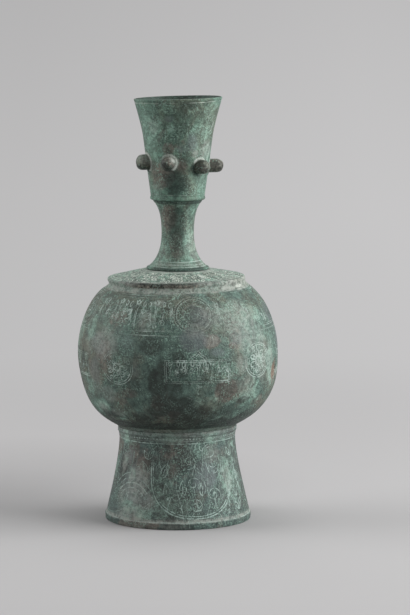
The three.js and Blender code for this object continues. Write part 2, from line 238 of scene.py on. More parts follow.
class Surface:
    """A turned piece: a fine outside that carries engraving, closed by a coarser inside."""

    def __init__(self, outside, inside, columns, step=0.36):
        self.outer = even(outside, step)
        self.inner = np.array(inside, float)
        self.columns = columns
        self.rows = len(self.outer)
        self.arc = arc_length(self.outer)
        self.radius = self.outer[:, 0]
        self.turn = TURN / columns
        self.around = np.arange(columns) * self.turn
        self.groove = np.zeros((self.rows, columns))
        self.flat = flat = revolved(self.outer[:, :1], self.around, self.outer[:, 1:]).reshape(-1, 3)
        self.pale, self.copper, self.slate, self.dark, self.brown, self.teal, self.lift = (
            np.zeros(len(flat)) for _ in range(7)
        )
        self.azimuth = np.tile(self.around, self.rows)
        self.height = flat[:, 2]
        self.across = np.hypot(flat[:, 0], flat[:, 1])
        self.along = np.repeat(self.arc, columns)
        self.ragged = 0.55 + 0.9 * layered(flat, 9.0, 4, 1.9)
        self.frayed = 2 * layered(flat, 5.0, 3, 3.1) - 1

    def place(self, height, side=None):
        """Arc length and radius on the outside at a height, or at a radius where side is given."""
        if side is None:
            return (np.interp(height, self.outer[:, 1], self.arc),
                    np.interp(height, self.outer[:, 1], self.radius))
        edge = np.argmax(np.where(self.outer[:, 1] > PLATE_EDGE - 2, self.radius, 0.0))
        return np.interp(-height, -self.radius[edge:], self.arc[edge:]), height

    def offsets(self, azimuth, height):
        """How far every point is from one of them, around the axis and along the outline."""
        s, r = self.place(height)
        return wrapped(self.azimuth - math.radians(azimuth)) * r, self.along - s

    def stroke(self, points, width, depth):
        """Engraves a line through points of (azimuth in radians, arc length), as deep as the hand made it."""
        width = width * draw.uniform(0.85, 1.2)
        depth = depth * draw.uniform(0.7, 1.1)
        for (a0, s0), (a1, s1) in zip(points[:-1], points[1:]):
            top = np.searchsorted(self.arc, max(s0, s1) + width)
            low = np.searchsorted(self.arc, min(s0, s1) - width)
            if top <= low:
                continue
            r = self.radius[low:top, None]
            reach = width / max(r.min(), 1.0)
            first = math.floor((min(a0, a1) - reach) / self.turn)
            last = math.ceil((max(a0, a1) + reach) / self.turn)
            columns = np.arange(first, last + 1)
            x = (columns * self.turn - a0) * r
            y = self.arc[low:top, None] - s0
            dx = (a1 - a0) * r
            dy = s1 - s0
            t = np.clip((x * dx + y * dy) / (dx * dx + dy * dy + 1e-9), 0, 1)
            distance = np.hypot(x - t * dx, y - t * dy)
            cut = depth * section(distance, width)
            window = np.ix_(np.arange(low, top), columns % self.columns)
            self.groove[window] = np.maximum(self.groove[window], cut)

    def motif(self, lines, azimuth, height, width, depth, side=None):
        """Engraves lines given in millimetres around a point of the surface."""
        s, r = self.place(height, side)
        for line in lines:
            self.stroke(np.asarray(line, float) / (r, 1) + (math.radians(azimuth), s), width, depth)

    def ring(self, height, width, depth, side=None):
        """Engraves a line all the way round, with the slight wobble of a hand."""
        s, _ = self.place(height, side)
        sway = RING_WOBBLE * (np.sin(3 * self.around + s) + 0.5 * np.sin(7 * self.around + 2 * s))
        distance = np.abs(self.arc[:, None] - s - sway)
        self.add("groove", depth * section(distance, width))

    def spot(self, azimuth, height, size, tall=1.0):
        """A soft patch with an irregular edge, 0 to 1."""
        across, along = self.offsets(azimuth, height)
        return 1 - smooth(np.hypot(across, along / tall) / (size * self.ragged), 0.45, 1.15)

    def rings(self, azimuth, height, radii, width):
        """Thin circles about one point, 0 to 1."""
        distance = np.hypot(*self.offsets(azimuth, height))
        return sum(bell(distance, radius, width) for radius in radii)

    def mottled(self, size, shift, low):
        """Patches at random all over the outside, 0 to 1."""
        return smooth(layered(self.flat, size, 3, shift), low, 0.6)

    def above(self, low, high, fray=0.0):
        """0 below the low level and 1 above the high one, with a frayed edge."""
        return smooth(self.height + fray * self.frayed, low, high)

    def band(self, low, high, edge):
        """A stretch between two heights, with a slightly ragged edge."""
        return self.above(low - edge, low + edge, edge) * (1 - self.above(high - edge, high + edge, edge))

    def facing(self, azimuth, low, high):
        """1 on the side that faces an azimuth and 0 away from it, with the cosines between which it changes."""
        return smooth(np.cos(self.azimuth - math.radians(azimuth)), low, high)

    def add(self, tone, values):
        """Raises one of the tones, or the groove, to the values where these are higher."""
        field = getattr(self, tone)
        np.maximum(field, values.reshape(field.shape), out=field)

    def paint(self, tone, patches):
        """Adds soft patches of (azimuth, height, size, tall, share) to one of the tones."""
        for azimuth, height, size, tall, share in patches:
            self.add(tone, share * self.spot(azimuth, height, size, tall))

    def scatter(self, tone, count, share, low, high, small=6.0, large=14.0):
        """Adds patches at random over the back and the sides."""
        for _ in range(count):
            azimuth = rng.uniform(*HIDDEN_SIDES)
            patch = (azimuth, rng.uniform(low, high), rng.uniform(small, large), 1.0, share)
            self.paint(tone, [patch])

    def worked(self):
        """How densely the outside is engraved around each point, 0 to 1."""
        total = self.groove
        for axis in (0, 1):
            total = sum(np.roll(total, k, axis) for k in range(-WORKED_REACH, WORKED_REACH + 1))
            total = total / (2 * WORKED_REACH + 1)
        return smooth(total, 0.03, 0.3)

    def build(self, name, material, replaced, wear=0.45, depth=0.27, floor=None):
        """Makes the mesh, with swells, dents, pits and grooves pressed into its outside."""
        flat = self.flat
        tangent = np.gradient(self.outer, axis=0)
        tangent /= np.linalg.norm(tangent, axis=1, keepdims=True)
        normal = np.column_stack([tangent[:, 1], -tangent[:, 0]])
        worn = 1 - wear * smooth(layered(flat, 16.0, 3, 5.5), 0.42, 0.62)
        groove = self.groove.ravel() * worn
        swell = layered(flat, 34.0, 2, 1.7) - 0.5
        dents = layered(flat, 7.0, 3, 8.8) - 0.5
        pits = smooth(layered(flat, 2.1, 2, 4.4), 0.66, 0.86)
        move = -SINK + SWELL * swell + DENT * dents - PIT * pits - depth * groove + self.lift
        shape = normal[np.repeat(np.arange(self.rows), self.columns)]
        r = self.across + move * shape[:, 0]
        z = self.height + move * shape[:, 1]
        if floor is not None:
            z = np.maximum(z, floor)
        outer = revolved(r, self.azimuth, z)
        inner = revolved(self.inner[:, :1], self.around, self.inner[:, 1:]).reshape(-1, 3)
        points = settled(np.vstack([outer, inner])) * MM
        quads, uv = lattice(np.vstack([self.outer, self.inner, self.outer[:1]]), self.columns, True)
        marks = np.zeros((len(points), 4), np.float32)
        marks[:len(outer)] = np.column_stack([groove, self.pale, self.copper, self.slate])
        tones = np.zeros((len(points), 4), np.float32)
        tones[:len(outer)] = np.column_stack([self.dark, self.brown, self.teal, self.worked().ravel()])
        tones[len(outer):] = INSIDE_TONES
        mesh_piece(name, points, quads, uv, {"marks": marks, "tones": tones}, material, replaced)


def in_scene(name, data):
    item = bpy.data.objects.new(name, data)
    bpy.context.scene.collection.objects.link(item)
    return item


def mesh_piece(name, points, quads, uv, colours, material, replaced):
    """Makes an object that stands for a node of the frame."""
    mesh = bpy.data.meshes.new(name)
    mesh.vertices.add(len(points))
    mesh.vertices.foreach_set("co", points.astype(np.float32).ravel())
    mesh.loops.add(quads.size)
    mesh.loops.foreach_set("vertex_index", quads.astype(np.int32).ravel())
    mesh.polygons.add(len(quads))
    mesh.polygons.foreach_set("loop_start", np.arange(0, quads.size, quads.shape[1], dtype=np.int32))
    mesh.update(calc_edges=True)
    layer = mesh.uv_layers.new(name="OFBake")
    layer.uv.foreach_set("vector", uv.astype(np.float32).ravel())
    for key, values in colours.items():
        attribute = mesh.color_attributes.new(name=key, type="FLOAT_COLOR", domain="POINT")
        attribute.data.foreach_set("color", values.astype(np.float32).ravel())
    mesh.validate()
    mesh.shade_smooth()
    mesh.set_sharp_from_angle(angle=SHARP_ANGLE)
    mesh.materials.append(material)
    piece = in_scene(name, mesh)
    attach(piece, "root")
    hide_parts(replaced)


# Ornament, as lines in millimetres around a point

KNOT_LOOP = 0.36  # size of a knot's loops as a share of the knot

def arc(cx, cy, radius, start, end, steps=None):
    """Part of a circle between two angles in degrees, in steps of about 14 degrees."""
    steps = steps or max(4, int(abs(end - start) / 14))
    t = np.radians(np.linspace(start, end, steps + 1))
    return np.column_stack([cx + radius * np.cos(t), cy + radius * np.sin(t)])


def circle(cx, cy, radius):
    return arc(cx, cy, radius, 0, 360, 40)


def spiral(cx, cy, radius, start, turns, tight=0.82):
    """A curl from its outer end inwards. Tight is the share of the radius that it loses."""
    t = np.linspace(0, 1, max(8, int(18 * abs(turns))))
    angle = np.radians(start) + TURN * turns * t
    r = radius * (1 - tight * t)
    return np.column_stack([cx + r * np.cos(angle), cy + r * np.sin(angle)])


def leaf(x, y, angle, length, width):
    """A pointed leaf with a midrib, from its stalk."""
    t = np.linspace(0, 1, 7)
    bulge = width * np.sin(math.pi * t ** 0.8)
    c, d = math.cos(math.radians(angle)), math.sin(math.radians(angle))
    out = []
    for side in (1, -1, 0):
        u = length * t
        w = side * bulge
        if side == 0:
            u = u * 0.6
        out.append(np.column_stack([x + u * c - w * d, y + u * d + w * c]))
    return out


def knot(loops, radius):
    """A closed interlace with loops around its centre."""
    t = np.linspace(0, TURN, 24 * loops + 1)
    x = np.cos(t) * (1 - KNOT_LOOP) + KNOT_LOOP * np.cos((loops - 1) * t)
    y = np.sin(t) * (1 - KNOT_LOOP) - KNOT_LOOP * np.sin((loops - 1) * t)
    return np.column_stack([radius * x, radius * y])


def rosette(petals, radius):
    lines = [circle(0, 0, 0.2 * radius)]
    for k in range(petals):
        a = 360 * k / petals
        c, d = math.cos(math.radians(a)), math.sin(math.radians(a))
        lines += leaf(0.24 * radius * c, 0.24 * radius * d, a, 0.72 * radius, 0.2 * radius)[:2]
    return lines


def stem(height, lean):
    """An upright stem that splits into two leaves at its top."""
    lines = [
        np.array([(-0.55, 0.0), (lean - 0.55, 0.68 * height), (lean - 2.1, height)]),
        np.array([(0.55, 0.0), (lean + 0.55, 0.68 * height), (lean + 2.1, height)]),
        np.array([(lean - 2.1, height), (lean, 0.84 * height), (lean + 2.1, height)]),
    ]
    return lines + leaf(lean, 0.84 * height, 90, 0.2 * height, 1.0)[:2]


def tangle(width, height, pitch, tall=1.0, rounded=False):
    """A dense fill of small curls, hooks and leaves around a point, loosely in rows."""
    lines = []
    rows = max(1, round(height / (pitch * tall)))
    count = max(1, round(width / pitch))
    for row in range(rows):
        for k in range(count):
            x = ((k + 0.25 + 0.5 * (row % 2)) / count - 0.5) * width + draw.uniform(-0.4, 0.4)
            y = ((row + 0.5) / rows - 0.5) * height + draw.uniform(-0.4, 0.4) * tall
            if rounded and math.hypot(x, y) > width / 2:
                continue
            turn = draw.uniform(0, 360)
            kind = draw.integers(5)
            if kind < 2:
                curl = [spiral(0, 0, 0.5 * pitch, turn, 1.15 if kind else -1.15, 0.7)]
            elif kind == 2:
                curl = leaf(0, 0, turn, 1.05 * pitch, 0.26 * pitch)[:2]
            elif kind == 3:
                curl = [arc(0, 0, 0.44 * pitch, turn, turn + 190)]
            else:
                curl = [np.array([(-0.1, -0.55), (0.12, 0.0), (-0.1, 0.6)]) * pitch]
            lines += [line * (1.0, tall) + (x, y) for line in curl]
    return lines


def shifted(lines, x, y):
    return [line + (x, y) for line in lines]


def mirrored(*lines):
    """Each line after its mirror image to the left."""
    return [np.array(line) * (side, 1) for line in lines for side in (-1, 1)]


def roundel(radius):
    """Two rings around a knot, with a small one in its middle."""
    return [circle(0, 0, radius), circle(0, 0, 0.88 * radius), knot(7, 0.66 * radius), circle(0, 0, 0.22 * radius)]


def uprights(height, kind):
    """One of three upright growths: a forked stem, a pair of curls, or a hooked stem with a bud."""
    if kind == 0:
        lines = stem(height, draw.uniform(-0.4, 0.4)) + [circle(0, 1.4, 1.3)]
    elif kind == 1:
        lines = [spiral(0, 3.4, 2.4, 200, -1.4), spiral(0.4, 0.62 * height, 2.2, 20, -1.3),
                 np.array([(-0.4, 5.0), (0.5, 0.4 * height), (-0.3, 0.9 * height)])]
        lines += leaf(-1.0, 0.36 * height, 75, 4.4, 0.9)[:2] + leaf(1.0, 0.78 * height, 100, 4.4, 1.0)[:2]
    else:
        lines = [arc(0, 3.4, 2.6, -60, 150), spiral(-0.5, 0.56 * height, 2.3, -90, 1.4),
                 np.array([(0.9, 4.4), (0.5, 0.5 * height), (1.0, 0.94 * height)]),
                 np.array([(1.9, 4.6), (1.6, 0.5 * height), (2.0, 0.9 * height)])]
        lines += leaf(-0.8, 0.74 * height, 80, 4.6, 1.0)[:2]
    return lines


def cartouche(width, height):
    """A framed panel with a lobed gable above and a pendant below, filled with stems and scrolls."""
    w, h = width / 2, height / 2
    frame_lines = []
    for inset in (0.0, 1.1):
        a, b = w - inset, h - inset
        frame_lines.append(np.array([(-a, -b), (a, -b), (a, b), (-a, b), (-a, -b)]))
    gable = mirrored([(6.5, h), (4.6, h + 2.4), (2.2, h + 3.6), (0, h + 6.4)],
                     [(4.6, h), (3.2, h + 1.6), (1.4, h + 2.4), (0, h + 4.4)])
    pendant = mirrored([(5.6, -h), (4.2, -h - 2.6), (1.6, -h - 4.6), (0, -h - 8.2)])
    pendant += shifted(rosette(5, 2.2), 0, -h - 2.6)
    fill = []
    for k, x in enumerate(np.linspace(-w + 3.8, w - 3.8, 9)):
        fill += shifted(uprights(0.76 * height, (0, 1, 2, 1, 0, 2)[k % 6]), x, -h + 2.0)
    return frame_lines + gable + pendant + fill


def cross_strokes(count, reach, low, high, lean):
    """Fine scratches of (azimuth, height, points), mostly along one direction in degrees from upright."""
    strokes = []
    for _ in range(count):
        angle = math.radians(90 + lean + draw.normal(0, 14))
        length = draw.uniform(*reach)
        bend = draw.uniform(-0.08, 0.08) * length
        t = np.linspace(-0.5, 0.5, 5)
        u = length * t * math.cos(angle) + bend * (1 - 4 * t * t)
        w = length * t * math.sin(angle)
        strokes.append((draw.uniform(0, 360), draw.uniform(low, high), np.column_stack([u, w])))
    return strokes


# Materials

class Nodes:
    """Short calls for building a node tree."""

    def __init__(self, owner):
        self.owner = owner
        owner.use_nodes = True
        self.tree = owner.node_tree
        self.tree.nodes.clear()

    def add(self, kind, settings=None, **inputs):
        """A shader node. Inputs go by name, or by number as i0, i1 and so on."""
        node = self.tree.nodes.new("ShaderNode" + kind)
        for key, value in (settings or {}).items():
            setattr(node, key, value)
        for key, value in inputs.items():
            self.feed(node.inputs[int(key[1:]) if key[1:].isdigit() else key], value)
        return node

    def feed(self, socket, value):
        if isinstance(value, bpy.types.NodeSocket):
            self.tree.links.new(value, socket)
        else:
            socket.default_value = value

    def noise(self, where, scale, detail=4.0, rough=0.6, twist=0.0):
        node = self.add("TexNoise", Vector=where, Scale=scale, Detail=detail,
                        Roughness=rough, Distortion=twist)
        return node.outputs["Fac"]

    def span(self, value, low, high, to_low=0.0, to_high=1.0, kind="SMOOTHSTEP"):
        node = self.add("MapRange", {"interpolation_type": kind}, i0=value, i1=low, i2=high, i3=to_low, i4=to_high)
        return node.outputs[0]

    def maths(self, kind, first, second, clamp=False):
        return self.add("Math", {"operation": kind, "use_clamp": clamp}, i0=first, i1=second).outputs[0]

    def times(self, first, second, clamp=False):
        return self.maths("MULTIPLY", first, second, clamp)

    def seen(self):
        """1 where the camera or a gloss sees a surface, and 0 where it only lights another."""
        ray = self.add("LightPath").outputs
        return self.maths("MAXIMUM", ray["Is Camera Ray"], ray["Is Glossy Ray"])

    def show(self, shader, output="OutputMaterial"):
        """Ends the tree with its shader."""
        self.add(output, Surface=shader.outputs[0])
        return self.owner

    def grey(self, value):
        return self.add("CombineColor", i0=value, i1=value, i2=value).outputs[0]

    def broken(self, value, texture, spread=1.0, low=0.24, high=0.6):
        """A painted patch, broken up at its edges along a texture."""
        shift = self.times(self.maths("SUBTRACT", texture, 0.5), spread)
        return self.span(self.maths("ADD", value, shift), low, high)

    def mix(self, share, first, second, kind="MIX"):
        node = self.add("Mix", {"data_type": "RGBA", "blend_type": kind}, i0=share, i6=first, i7=second)
        return node.outputs[2]


def rgb(red, green, blue):
    """A colour given as it looks, from 0 to 255, for a shader's socket."""
    def linear(value):
        value /= 255
        return value / 12.92 if value <= 0.04045 else ((value + 0.055) / 1.055) ** 2.4
    return (linear(red), linear(green), linear(blue), 1.0)


GREEN = rgb(90, 113, 104)
OLIVE = rgb(98, 102, 90)
BROWN = rgb(110, 103, 95)
DARK = rgb(44, 50, 46)
SLATE = rgb(102, 111, 112)
VERDIGRIS = rgb(158, 193, 177)
FILL = rgb(192, 210, 202)
PALE = rgb(182, 188, 180)
COPPER = rgb(142, 122, 106)


def bronze(name, seed, ground=GREEN, second=OLIVE, fill=FILL, deep=DARK, speck=0.7, gloss=0.5, busy=0):
    """Old bronze: brown and green ground in patches, verdigris specks, and pale earth in the engraving; the dark
    and pale tones also carry painted shade and painted highlights.
    """
    n = Nodes(bpy.data.materials.new(name))
    place = n.add("TexCoord").outputs["Object"]
    where = n.add("Mapping", Vector=place, Location=(seed, 0.3 * seed, -seed)).outputs[0]
    marks = n.add("Attribute", {"attribute_name": "marks"}).outputs
    tones = n.add("Attribute", {"attribute_name": "tones"}).outputs
    groove, pale, copper = n.add("SeparateColor", Color=marks["Color"]).outputs
    dark, brown, teal = n.add("SeparateColor", Color=tones["Color"]).outputs
    slate, worked = marks["Alpha"], tones["Alpha"]

    patches = n.noise(where, 24, 5, 0.62, 0.8)
    clusters = n.noise(where, 75, 5, 0.72, 0.8)
    mottle = n.noise(where, 150, 6, 0.68, 0.4)
    blotch = n.noise(where, 400, 3, 0.6)
    grain = n.noise(where, 950, 3, 0.6)
    fine = n.noise(where, 1500, 2, 0.6)

    colour = n.mix(n.span(patches, 0.43, 0.6), ground, second)
    native = n.span(n.noise(where, 50, 5, 0.7, 0.7), 0.59, 0.66, 0, 0.5)
    warm = n.maths("MAXIMUM", n.broken(brown, mottle), native)
    colour = n.mix(n.times(warm, 0.85), colour, BROWN)
    metal_grey = n.broken(slate, mottle, 0.7, 0.1, 0.85)
    colour = n.mix(n.times(metal_grey, 0.8), colour, SLATE)
    crust = n.times(n.span(clusters, 0.38, 0.62, 0.3, 1), n.span(mottle, 0.36, 0.6, 0.35, 1.1))
    colour = n.mix(n.times(teal, crust, True), colour, VERDIGRIS)
    # Dark tone: dark patina in places, and painted shade in others (under the cup, under the plate's front edge,
    # beside and on the studs, inside the rim).
    dark_patina_and_shade = n.broken(dark, mottle, 0.8, 0.12, 0.8)
    colour = n.mix(n.times(dark_patina_and_shade, 0.84), colour, deep)

    calm = n.span(metal_grey, 0, 1, 1, 0.42)
    shade = n.times(n.span(mottle, 0.3, 0.7, 0.58, 1.42), n.span(blotch, 0.34, 0.66, 0.72, 1.28))
    colour = n.mix(calm, colour, n.mix(1, colour, n.grey(shade), "MULTIPLY"))
    if busy:
        crumbs = n.span(n.noise(where, 620, 3, 0.7), 0.38, 0.6, 1 - busy, 1 + busy)
        colour = n.mix(1, colour, n.grey(crumbs), "MULTIPLY")
    colour = n.mix(n.times(worked, 0.5), colour, n.mix(1, colour, rgb(146, 166, 154), "MULTIPLY"))
    dust = n.times(n.span(grain, 0.5, 0.6), calm)
    where_dust = n.maths("MAXIMUM", n.span(clusters, 0.44, 0.58, 0.1, 1), n.times(worked, 0.6))
    clear = n.span(dark_patina_and_shade, 0, 1, speck, 0.45 * speck)
    specks = n.times(n.times(dust, where_dust), clear)
    colour = n.mix(specks, colour, VERDIGRIS)
    holes = n.times(n.span(fine, 0.54, 0.63), calm)
    colour = n.mix(n.times(holes, 0.55), colour, DARK)

    filled = n.span(n.noise(where, 300, 4, 0.7), 0.4, 0.54, 0.15, 1)
    cut = n.span(groove, 0.12, 0.5)
    colour = n.mix(n.times(n.times(cut, filled), 0.9), colour, fill)
    bare = n.times(copper, n.span(grain, 0.3, 0.5, 0.6, 1))
    colour = n.mix(bare, colour, COPPER)
    # Pale tone: pale crust in places, and painted highlights and a painted reflection in others.
    pale_crust_and_highlight = n.times(pale, n.span(blotch, 0.36, 0.6, 0.35, 1))
    colour = n.mix(n.times(pale_crust_and_highlight, 0.9), colour, PALE)

    rough = n.span(mottle, 0.3, 0.7, gloss - 0.08, gloss + 0.14)
    rough = n.maths("ADD", rough, n.times(n.maths("MAXIMUM", specks, pale), 0.22), True)
    rough = n.maths("SUBTRACT", rough, n.times(bare, 0.22), True)
    metal = n.maths("MAXIMUM", n.span(n.maths("ADD", specks, pale), 0, 0.8, 0.28, 0), n.times(bare, 0.4))

    bumps = n.maths("ADD", n.times(grain, 0.8), n.times(mottle, 1.4))
    bumps = n.maths("SUBTRACT", bumps, n.times(holes, 0.4))
    bumps = n.maths("ADD", bumps, n.times(specks, 0.35))
    bump = n.add("Bump", Strength=0.7, Distance=0.00045, Height=bumps)
    shader = n.add("BsdfPrincipled", Metallic=metal, Roughness=rough, Normal=bump.outputs[0])
    n.feed(shader.inputs["Base Color"], colour)
    return n.show(shader)


def solder_metal():
    n = Nodes(bpy.data.materials.new("solder_dull"))
    place = n.add("TexCoord").outputs["Object"]
    lumps = n.noise(place, 260, 5, 0.65, 0.5)
    grain = n.noise(place, 1400, 3)
    colour = n.mix(n.span(lumps, 0.35, 0.65), rgb(150, 151, 146), rgb(104, 106, 100))
    colour = n.mix(n.span(grain, 0.56, 0.7, 0, 0.5), colour, rgb(190, 194, 186))
    bump = n.add("Bump", Strength=0.7, Distance=0.0004, Height=n.maths("ADD", lumps, grain))
    shader = n.add("BsdfPrincipled", Metallic=n.span(lumps, 0.3, 0.7, 0.7, 0.35),
                   Roughness=n.span(grain, 0.3, 0.7, 0.42, 0.62), Normal=bump.outputs[0])
    n.feed(shader.inputs["Base Color"], colour)
    return n.show(shader)


# Foot

foot = Surface(
    outline(
        (46.5, 0),
        corner((46.5, 0), (49.5, 0), (49.9, 1.3), 0.5),
        corner((49.9, 1.3), (49.9, 4.3), (48.9, 5), 0.5),
        curve((48.95, 5.5), [[0.25, 0.2], [0.97, 0.74]], (39.6, 55.5)),
        curve((39.6, 55.5), [[0, 0.4], [0.5, 0.7]], (40.2, 60.9), 12),
        corner((40.2, 60.9), (40.6, 61.3), (40.6, 63), 0.3),
        (40.6, 64.4),
    ),
    [(37.8, 64.3), (37.8, 58.1), (37.2, 50), (38.4, 40), (40.4, 30), (42.8, 20), (45.2, 9), (46.2, 0)],
    columns=900,
)
for height, width, depth in (
    (4.9, 0.5, 0.8), (7.6, 0.35, 0.35), (57, 0.5, 0.8), (58.4, 0.35, 0.4), (62.3, 0.35, 0.5),
):
    foot.ring(height, width, depth)
BEADS = 110
for k in range(BEADS):
    foot.motif([arc(0, 0, 0.28, 0, 360, 6)], 360 * k / BEADS, 60, 0.42, 0.75)

# Four great lobes, each a double line around loose curls, with leaves between them
LOBE_WIDTH, LOBE_TOP, LOBE_DEPTH = 29.4, 39, 32.3
slope = np.radians(np.linspace(0, 180, 41))
lobe = np.column_stack([
    LOBE_WIDTH * np.sign(np.cos(slope)) * np.abs(np.cos(slope)) ** 0.87, -LOBE_DEPTH * np.sin(slope) ** 0.87,
])
lobe = np.vstack([[LOBE_WIDTH, 5], lobe, [-LOBE_WIDTH, 5]])
for k in range(4):
    centre = 16 + 90 * k
    faint = 0.5 if k == 3 else 1
    foot.motif([lobe], centre, LOBE_TOP, 0.6, 1.15 * faint)
    foot.motif([lobe * 0.955], centre, LOBE_TOP, 0.42, 0.7 * faint)
    curls = []
    for x, y, radius, start, turns in (
        (-17, 2, 5.6, 20, 1.3), (-13, -13, 5, 200, -1.4), (-3, 10, 5.2, 250, 1.3), (0, -20, 4.6, 80, -1.3),
        (14, 9, 6.6, 160, -1.3), (13, -13, 5.2, -20, 1.4), (-1, -5, 4.8, 0, 1.2), (22, -2, 4.2, 60, 1.2),
    ):
        curls.append(spiral(x, y, radius, start, turns))
        curls += leaf(x + 0.7 * radius, y - 0.7 * radius, start + 60, 5, 1.1)[:2]
    foot.motif(curls, centre, LOBE_TOP - 4, 0.45, 0.48)
    foot.motif(tangle(56, 46, 5.2, 1.2), centre, 32, 0.36, 0.32)
    if k:
        foot.motif([arc(0, -14, 9 + 3.4 * step, 35, 145) for step in range(5)], centre + 30, 28, 0.5, 0.8)
        slants = [[(1.9 * x, -4), (1.9 * x + 2.4, 5)] for x in range(-3, 4)]
        foot.motif(slants, centre + 16, 17, 0.45, 0.6)
    for y, lean in ((10, 60), (19, 120), (28, 60), (37, 120), (46, 60)):
        foot.motif(leaf(0, 0, lean, 9, 1.7) + leaf(0, 0, 180 - lean, 7, 1.4), centre + 45, y, 0.5, 0.6)
for azimuth, height, radius in ((25, 54, 3.4), (33.5, 50, 4.2)):
    foot.motif([spiral(0, 0, radius, 120, -0.9, 0.5), arc(0, 0, 1.4 * radius, 70, 190)], azimuth, height, 0.5, 0.8)
for azimuth, height, lean in ((5, 22, 90), (-8, 20, 100), (22, 22, 80), (-14, 34, 70)):
    foot.motif(leaf(0, 0, lean, 11, 2.4), azimuth, height, 0.42, 0.7)
for azimuth, height, line in cross_strokes(210, (5, 24), 10, 52, 0):
    foot.motif([line], azimuth, height, 0.36, 0.5)
for azimuth, height, line in cross_strokes(36, (6, 15), 28, 46, -12):
    foot.motif([line], 59 + 11 * math.sin(azimuth) + 180 * (azimuth > 300), height, 0.45, 0.55)

foot.add("pale", 0.42 * foot.band(62.6, 66, 0.5))
foot.add("pale", 0.22 * foot.band(57.5, 62, 1.6))
foot.add("pale", 0.75 * foot.band(4.4, 6.6, 0.8))
foot.add("dark", 0.12 * foot.band(-2, 4, 0.5))
foot.add("dark", 0.45 * foot.band(60.8, 62.6, 0.8))
foot.paint("dark", [
    (-44, 59.5, 5, 0.4, 0.5), (-27, 42, 7, 1.8, 0.5), (-72, 34, 4, 3.4, 0.5), (-45, 54, 7, 0.7, 0.4),
    (8, 22, 12, 1, 0.3), (-16, 60, 8, 0.4, 0.3), (-19, 36, 10, 1.6, 0.42), (-66, 40, 5, 3, 0.6),
    (-6, 12, 16, 0.6, 0.3), (12, 44, 13, 0.8, 0.35), (-36, 58, 5, 0.5, 0.5),
])
foot.paint("brown", [
    (-34, 42, 10, 1.4, 0.6), (-48, 50, 9, 1.4, 0.5), (-8, 52, 8, 1, 0.4), (20, 20, 8, 1, 0.35),
    (-34, 2, 22, 0.3, 0.9),
])
foot.paint("slate", [
    (-42, 28, 12, 1.6, 0.75), (27, 34, 11, 1.2, 0.75), (-52, 47, 7, 1.2, 0.5), (-30, 22, 8, 1, 0.5),
])
foot.paint("pale", [
    (-60, 61, 8, 0.5, 0.35), (-45, 35, 4, 1.4, 0.5), (52, 32, 5, 2, 0.35), (-38, 29, 11, 1.6, 0.55),
    (-44, 9, 14, 0.4, 0.5), (-34, 2, 18, 0.16, 0.2), (-6, 2, 12, 0.14, 0.25), (-60, 42, 4, 2, 0.5),
    (-56, 20, 6, 1.6, 0.35), (-27, 18, 8, 1, 0.35), (36, 50, 7, 1, 0.3),
])
foot.paint("teal", [
    (-13, 10, 5, 0.8, 0.5), (56, 34, 12, 1.9, 0.6), (-46, 14, 11, 0.5, 0.5), (-60, 60, 12, 0.5, 0.9),
    (40, 59, 14, 0.4, 0.6), (28, 52, 9, 0.8, 0.45), (-46, 34, 4, 1.6, 0.6), (-59, 43, 3, 1.4, 0.8),
    (-27, 10, 10, 0.5, 0.5), (66, 48, 7, 1.4, 0.55), (50, 30, 6, 1.2, 0.5), (-14, 26, 10, 1.4, 0.35),
    (0, 16, 10, 0.7, 0.35), (-10, 62, 16, 0.3, 0.4), (-40, 20, 6, 0.8, 0.4),
])
foot.scatter("brown", 10, 0.6, 10, 55)
foot.scatter("teal", 12, 0.55, 8, 56)
foot.scatter("slate", 7, 0.6, 10, 50)
foot_bronze = bronze(
    "foot_patina", 1.3, ground=rgb(80, 98, 94), second=rgb(80, 85, 81), fill=rgb(176, 198, 190), speck=0.6,
)
foot.build("foot_turned", foot_bronze, "foot", wear=0.4, floor=0.02)

# Body

body = Surface(
    outline(
        (37.4, 60.6),
        (37.4, 64.5),
        (40.4, 64.5),
        curve((40.6, 64.75), [[0.187, 0.087], [1, 0.188]], (68.15, BOWL_WIDEST), 120),
        curve((68.15, BOWL_WIDEST), [[0, 0.431], [0.463, 0.861]], (48.9, 159.5), 120),
        corner((48.9, 159.3), (48.3, 160.35), (47, 160.35), 0.45),
        (44.1, 160.3),
    ),
    [(44, 154.8), (49.5, 152), (56, 147), (61, 139), (64.6, 128), (65.7, 115), (64.9, 103),
     (61.6, 91), (55.2, 79), (47, 71.6), (37.5, BOWL_FLOOR), (12, BOWL_FLOOR), (0.05, BOWL_FLOOR),
     (0.05, BOWL_SEAT), (12, BOWL_SEAT), (34.9, BOWL_SEAT), (34.9, 60.6)],
    columns=1200,
)
for height, depth in (
    (133.7, 0.8), (136.2, 0.75), (137.2, 0.6), (157.2, 0.55), (158.6, 0.8), (70.6, 0.35), (72.4, 0.3),
):
    body.ring(height, 0.42, depth)

BAND_LEVEL, PANEL_LEVEL = 147.2, 109.8
BAND_ROUNDELS = [10.8, 103, 193, 283]
SIDE_ROUNDELS = [(-36.5, 111.3), (52.8, 114.4), (144, 112), (233, 112)]
PANELS = [12.1, 98, 190, 279]
for azimuth in BAND_ROUNDELS:
    body.motif(roundel(13.2), azimuth, BAND_LEVEL, 0.42, 0.72)
    body.motif(tangle(19, 19, 4.4, rounded=True), azimuth, BAND_LEVEL, 0.36, 0.4)
for azimuth, height in SIDE_ROUNDELS:
    body.motif([line * (1.1, 1) for line in roundel(11.7)], azimuth, height, 0.42, 0.75)
    body.motif(tangle(19.5, 18.5, 3.7, rounded=True), azimuth, height, 0.38, 0.85)
for azimuth in PANELS:
    body.motif(cartouche(45.4, 15.4), azimuth, PANEL_LEVEL, 0.42, 0.8)
    body.motif(tangle(42, 12, 4.4), azimuth, PANEL_LEVEL, 0.34, 0.3)
GROWTHS = 78
